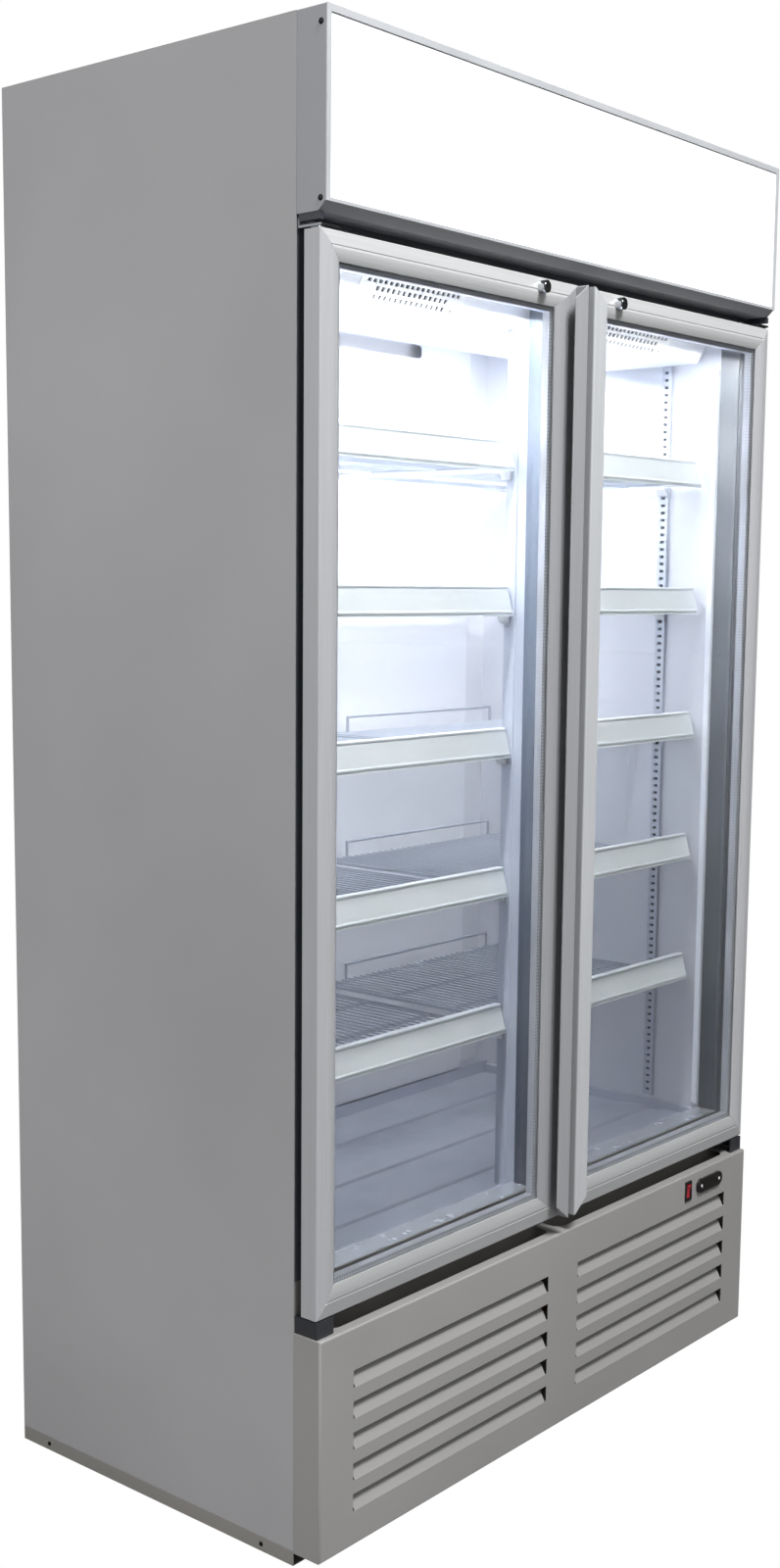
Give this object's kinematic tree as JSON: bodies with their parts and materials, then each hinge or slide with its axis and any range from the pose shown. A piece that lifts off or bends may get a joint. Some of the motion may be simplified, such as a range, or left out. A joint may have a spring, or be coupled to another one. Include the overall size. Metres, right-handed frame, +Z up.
{
  "type": "glass door cooler",
  "caption": "Upright display cooler with hinged double-glazed doors, grip-lip frames, wire shelves with price strips, a lit canopy and a louvred base.",
  "frame": {"origin": "on the floor, under the middle of the whole object's box", "axes": "+X to the right as seen from the front, +Y to the back, +Z up; the doors face -Y"},
  "size_m": [1.124, 0.6316, 2.01],
  "materials": {
    "cabinet_paint": "satin grey paint on sheet steel",
    "back_sheet": "plain galvanised sheet",
    "plinth_paint": "painted folded steel",
    "foam": null,
    "liner_paint": "satin white paint on sheet steel",
    "floor_sheet": "pressed sheet with shallow ridges",
    "sill_sheet": "bright folded sheet",
    "duct_paint": "satin white paint on sheet steel",
    "frame_dark": "dark grey extruded plastic",
    "mullion_dark": "dark slate coating",
    "post_paint": "satin grey paint",
    "upright_paint": "satin grey paint on slotted steel",
    "clip_plastic": "white moulded plastic",
    "shelf_wire": "white plastic-coated steel wire",
    "strip_plastic": "white extruded plastic",
    "fin_metal": "bare aluminium fins",
    "motor_paint": "grey coated housing",
    "light_plastic": "lit opal plastic",
    "canopy_paint": "satin grey paint on sheet steel",
    "trim_plastic": "light grey snap trim",
    "screw_black": "black zinc",
    "grille_paint": "satin grey paint on pressed steel",
    "black_plastic": "black moulded plastic",
    "bracket_steel": "bright zinc plate",
    "compressor_paint": "black enamel",
    "shroud_paint": "black coated sheet",
    "tray_plastic": "black moulded plastic",
    "pipe_copper": "drawn copper tube",
    "fan_plastic": "black moulded plastic",
    "red_plastic": "translucent red moulded plastic",
    "key_plastic": "light grey moulded plastic",
    "door_aluminium": "silver anodised extrusion",
    "spacer_metal": "perforated bright spacer bar",
    "gasket_rubber": "dark grey soft extrusion",
    "lock_metal": "polished barrel lock",
    "door_glass": "clear double glazing"
  },
  "bodies": {
    "cabinet": {"side_panels": "cabinet_paint", "back_panel": "back_sheet", "top_panel": "cabinet_paint", "base_frame": "plinth_paint", "insulation": "foam", "inner_liner": "liner_paint", "floor_pan": "floor_sheet", "threshold": "sill_sheet", "rear_duct": "duct_paint", "front_frame": "frame_dark", "mullion": "mullion_dark", "centre_post": "post_paint", "slotted_uprights": "upright_paint", "shelf_clips": "clip_plastic", "left_shelves": "shelf_wire", "right_shelves": "shelf_wire", "price_strips": "strip_plastic", "evaporator_cover": "duct_paint", "evaporator_coil": "fin_metal", "fan_motors": "motor_paint", "led_strips": "light_plastic", "canopy_shell": "canopy_paint", "canopy_trim": "trim_plastic", "light_panel": "light_plastic", "screws": "screw_black", "grille_panel": "grille_paint", "thermostat_housing": "black_plastic", "switch_bezel": "black_plastic", "hinge_brackets": "bracket_steel", "compressor": "compressor_paint", "condenser": "fin_metal", "fan_shroud": "shroud_paint", "evaporation_tray": "tray_plastic", "pipework": "pipe_copper", "cable_gland": "black_plastic"},
    "left_door": {"left_hinge_stile": "door_aluminium", "left_handle_stile": "door_aluminium", "left_top_rail": "door_aluminium", "left_bottom_rail": "door_aluminium", "left_glass": "door_glass", "left_glass_spacer": "spacer_metal", "left_gasket": "gasket_rubber", "left_hinge_plates": "bracket_steel", "left_lock_housing": "lock_metal"},
    "right_door": {"right_hinge_stile": "door_aluminium", "right_handle_stile": "door_aluminium", "right_top_rail": "door_aluminium", "right_bottom_rail": "door_aluminium", "right_glass": "door_glass", "right_glass_spacer": "spacer_metal", "right_gasket": "gasket_rubber", "right_hinge_plates": "bracket_steel", "right_lock_housing": "lock_metal"},
    "left_lock": {"left_lock_plug": "lock_metal"},
    "right_lock": {"right_lock_plug": "lock_metal"},
    "rocker_key": {"rocker": "red_plastic"},
    "left_key": {"thermostat_key_left": "key_plastic"},
    "right_key": {"thermostat_key_right": "key_plastic"},
    "evaporator_blades": {"evaporator_fan": "fan_plastic"},
    "condenser_blades": {"condenser_fan": "fan_plastic"}
  },
  "joints": [
    {"name": "left_door_hinge", "type": "hinge", "parent": "cabinet", "child": "left_door", "pos_m": [-0.547, -0.28225, 1], "axis": [0, 0, -1], "range_deg": [0, 100]},
    {"name": "right_door_hinge", "type": "hinge", "parent": "cabinet", "child": "right_door", "pos_m": [0.547, -0.28225, 1], "axis": [0, 0, 1], "range_deg": [0, 100]},
    {"name": "left_lock_turn", "type": "hinge", "parent": "left_door", "child": "left_lock", "pos_m": [-0.0987, -0.3, 1.737], "axis": [0, 1, 0], "range_deg": [0, 90]},
    {"name": "right_lock_turn", "type": "hinge", "parent": "right_door", "child": "right_lock", "pos_m": [0.0987, -0.3, 1.737], "axis": [0, 1, 0], "range_deg": [0, 90]},
    {"name": "rocker_tilt", "type": "hinge", "parent": "cabinet", "child": "rocker_key", "pos_m": [0.3685, -0.29925, 0.301], "axis": [1, 0, 0], "range_deg": [-16, 0]},
    {"name": "left_key_press", "type": "slide", "parent": "cabinet", "child": "left_key", "axis": [0, 1, 0], "range_m": [0, 0.001], "stiffness_N_per_m": 300},
    {"name": "right_key_press", "type": "slide", "parent": "cabinet", "child": "right_key", "axis": [0, 1, 0], "range_m": [0, 0.001], "stiffness_N_per_m": 300},
    {"name": "evaporator_fan_spin", "type": "hinge", "parent": "cabinet", "child": "evaporator_blades", "pos_m": [0, -0.10925, 1.712], "axis": [0, 0, 1], "continuous": true},
    {"name": "condenser_fan_spin", "type": "hinge", "parent": "cabinet", "child": "condenser_blades", "pos_m": [0.2, -0.14, 0.165], "axis": [0, 1, 0], "continuous": true}
  ]
}
